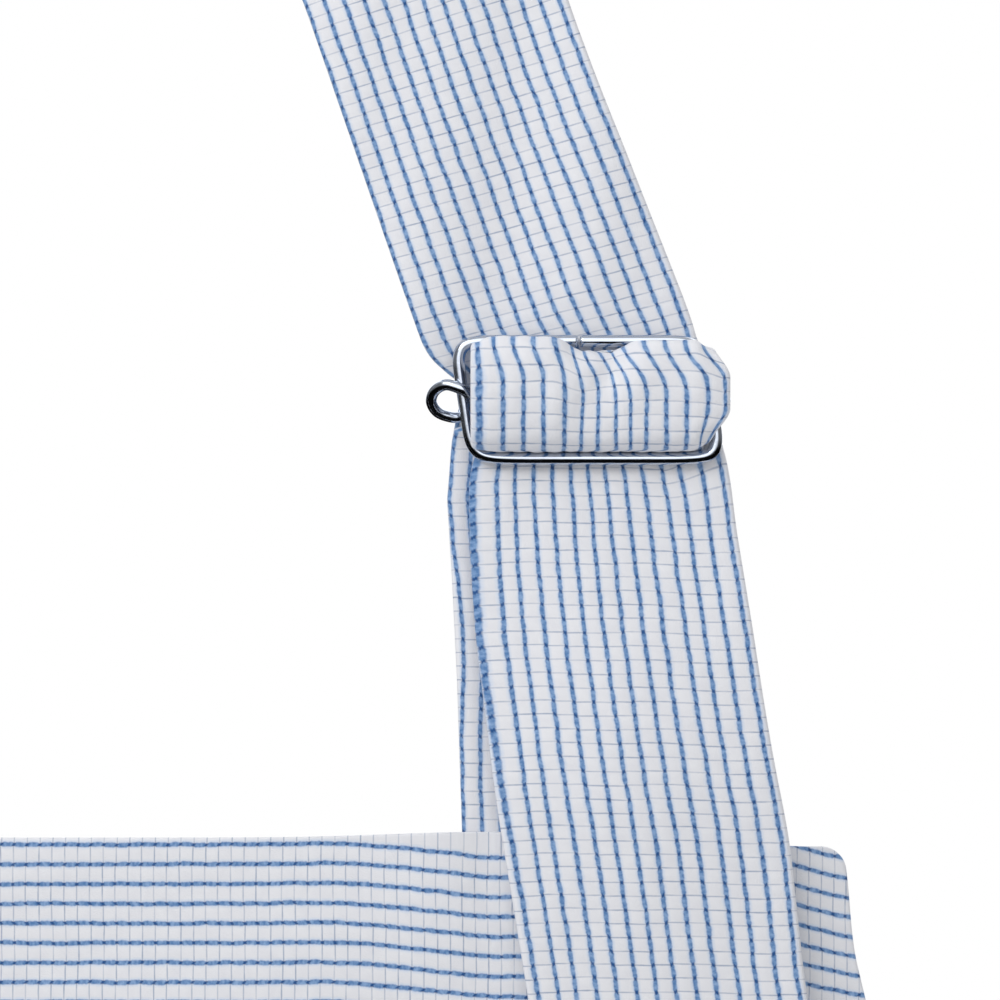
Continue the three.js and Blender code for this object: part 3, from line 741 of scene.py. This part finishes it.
# ---- Stitches: white sewing thread. Rows along the hems, boxed crosses where the straps
# are sewn to the bib, and short rows at the tab, the ties and the strap's end.
cotton_thread = bpy.data.materials.new("white_thread")
cotton_thread.use_nodes = True
tree = cotton_thread.node_tree
shader = tree.nodes["Principled BSDF"]
place = node(tree, "TexCoord").outputs["Object"]
twist = node(tree, "TexNoise", {"Vector": place, "Scale": 2500, "Detail": 2}).outputs[0]
tone = blend_colour(tree, twist, linear("#DCDCE0"), linear("#F6F6F4"))
tree.links.new(tone, shader.inputs["Base Color"])
shader.inputs["Roughness"].default_value = 0.75
strands = node(tree, "Bump", {"Height": twist, "Strength": 0.5, "Distance": 0.0001}).outputs[0]
tree.links.new(strands, shader.inputs["Normal"])


hem_stitch = 0.0032
fine_stitch = 0.0024
thread_radius = 0.0003


def stitches(name, cad, body, rows, pitch=hem_stitch):
    """One mesh of small stitches along rows of points, each a rounded bar of thread."""
    built = bmesh.new()
    bmesh.ops.create_uvsphere(built, u_segments=6, v_segments=6, radius=1)
    bead = bpy.data.meshes.new("bead")
    built.to_mesh(bead)
    built.clear()
    for row in rows:
        row = np.asarray(row, float)
        length = np.linalg.norm(np.diff(row, axis=0), axis=1).sum()
        line = spline(row, max(2, round(length / pitch) + 1))
        for a, b in zip(line, line[1:]):
            along = Vector(b - a)
            turn = along.to_track_quat("Z", "Y").to_matrix().to_4x4()
            turn.translation = Vector((a + b) / 2)
            shape = turn @ Matrix.Diagonal((thread_radius, thread_radius, along.length * 0.44, 1))
            placed = bead.copy()
            placed.transform(shape)
            built.from_mesh(placed)
            bpy.data.meshes.remove(placed)
    bpy.data.meshes.remove(bead)
    for face in built.faces:
        face.smooth = True
    mesh = bpy.data.meshes.new(name)
    built.to_mesh(mesh)
    built.free()
    made = bpy.data.objects.new(name, mesh)
    scene.collection.objects.link(made)
    mesh.materials.append(cotton_thread)
    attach(made, body)
    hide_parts(cad)
    return made


def on_panel_back(share, depth, lift):
    """A point behind the panel."""
    y = fold_at((share + 1) / 2, depth) + lift
    return np.stack(np.broadcast_arrays(share * half_width(depth), y, bib_top - depth), 1)


hem_lift = 0.0012
hem_in = 0.0118
row_points = 160
down = np.linspace(0.02, panel_height - 0.012, row_points)
along = np.linspace(-1, 1, row_points)
bottom_depth = np.full(row_points, panel_height - hem_in)
bottom = on_panel_back(along * (1 - hem_in / skirt_half), bottom_depth, hem_lift)
top_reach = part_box("hem_stitch_top")[1].x / half_width(hem_in)
top_row = on_panel_back(along * top_reach, np.full(row_points, hem_in), hem_lift)
sides = [on_panel_back(side * (1 - hem_in / half_width(down)), down, hem_lift) for side in (-1, 1)]
stitches("hem_stitches_bottom", "hem_stitch_bottom", "apron", [bottom])
stitches("hem_stitches_top", "hem_stitch_top", "apron", [top_row])
stitches("hem_stitches_left", "hem_stitch_left", "apron", [sides[0]])
stitches("hem_stitches_right", "hem_stitch_right", "apron", [sides[1]])


def boxed_cross(node_name):
    """A rectangle of thread with a cross in it, where the CAD has it."""
    low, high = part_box(node_name)
    y = high.y
    corners = [np.array(p) for p in (
        (low.x, y, low.z), (high.x, y, low.z), (high.x, y, high.z), (low.x, y, high.z),
    )]
    order = ((0, 1), (1, 2), (2, 3), (3, 0), (0, 2), (1, 3))
    return [[corners[a], corners[b]] for a, b in order]


def bar_row(node_name, back=True):
    """A row of stitches along the longest side of a CAD thread."""
    low, high = (np.array(p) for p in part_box(node_name))
    middle, reach = (low + high) / 2, (high - low) / 2
    middle[1] = high[1] if back else low[1]
    reach[1] = 0
    reach[np.argmin(reach[[0, 2]]) * 2] = 0
    return [[middle - reach, middle + reach]]


for name, cad, body, rows in (
    ("neck_strap_box_stitches", "neck_strap_stitch", "apron", boxed_cross("neck_strap_stitch")),
    ("strap_tab_box_stitches", "strap_tab_stitch", "apron", boxed_cross("strap_tab_stitch")),
    ("tab_loop_stitches", "tab_loop_stitch", "apron", bar_row("tab_loop_stitch")),
    ("tail_hem_stitches", "tail_hem_stitch", "strap_end", bar_row("tail_hem_stitch", False)),
    ("tie_tack_stitches_left", "tie_tack_left", "apron", bar_row("tie_tack_left")),
    ("tie_tack_stitches_right", "tie_tack_right", "apron", bar_row("tie_tack_right")),
):
    stitches(name, cad, body, rows, fine_stitch)
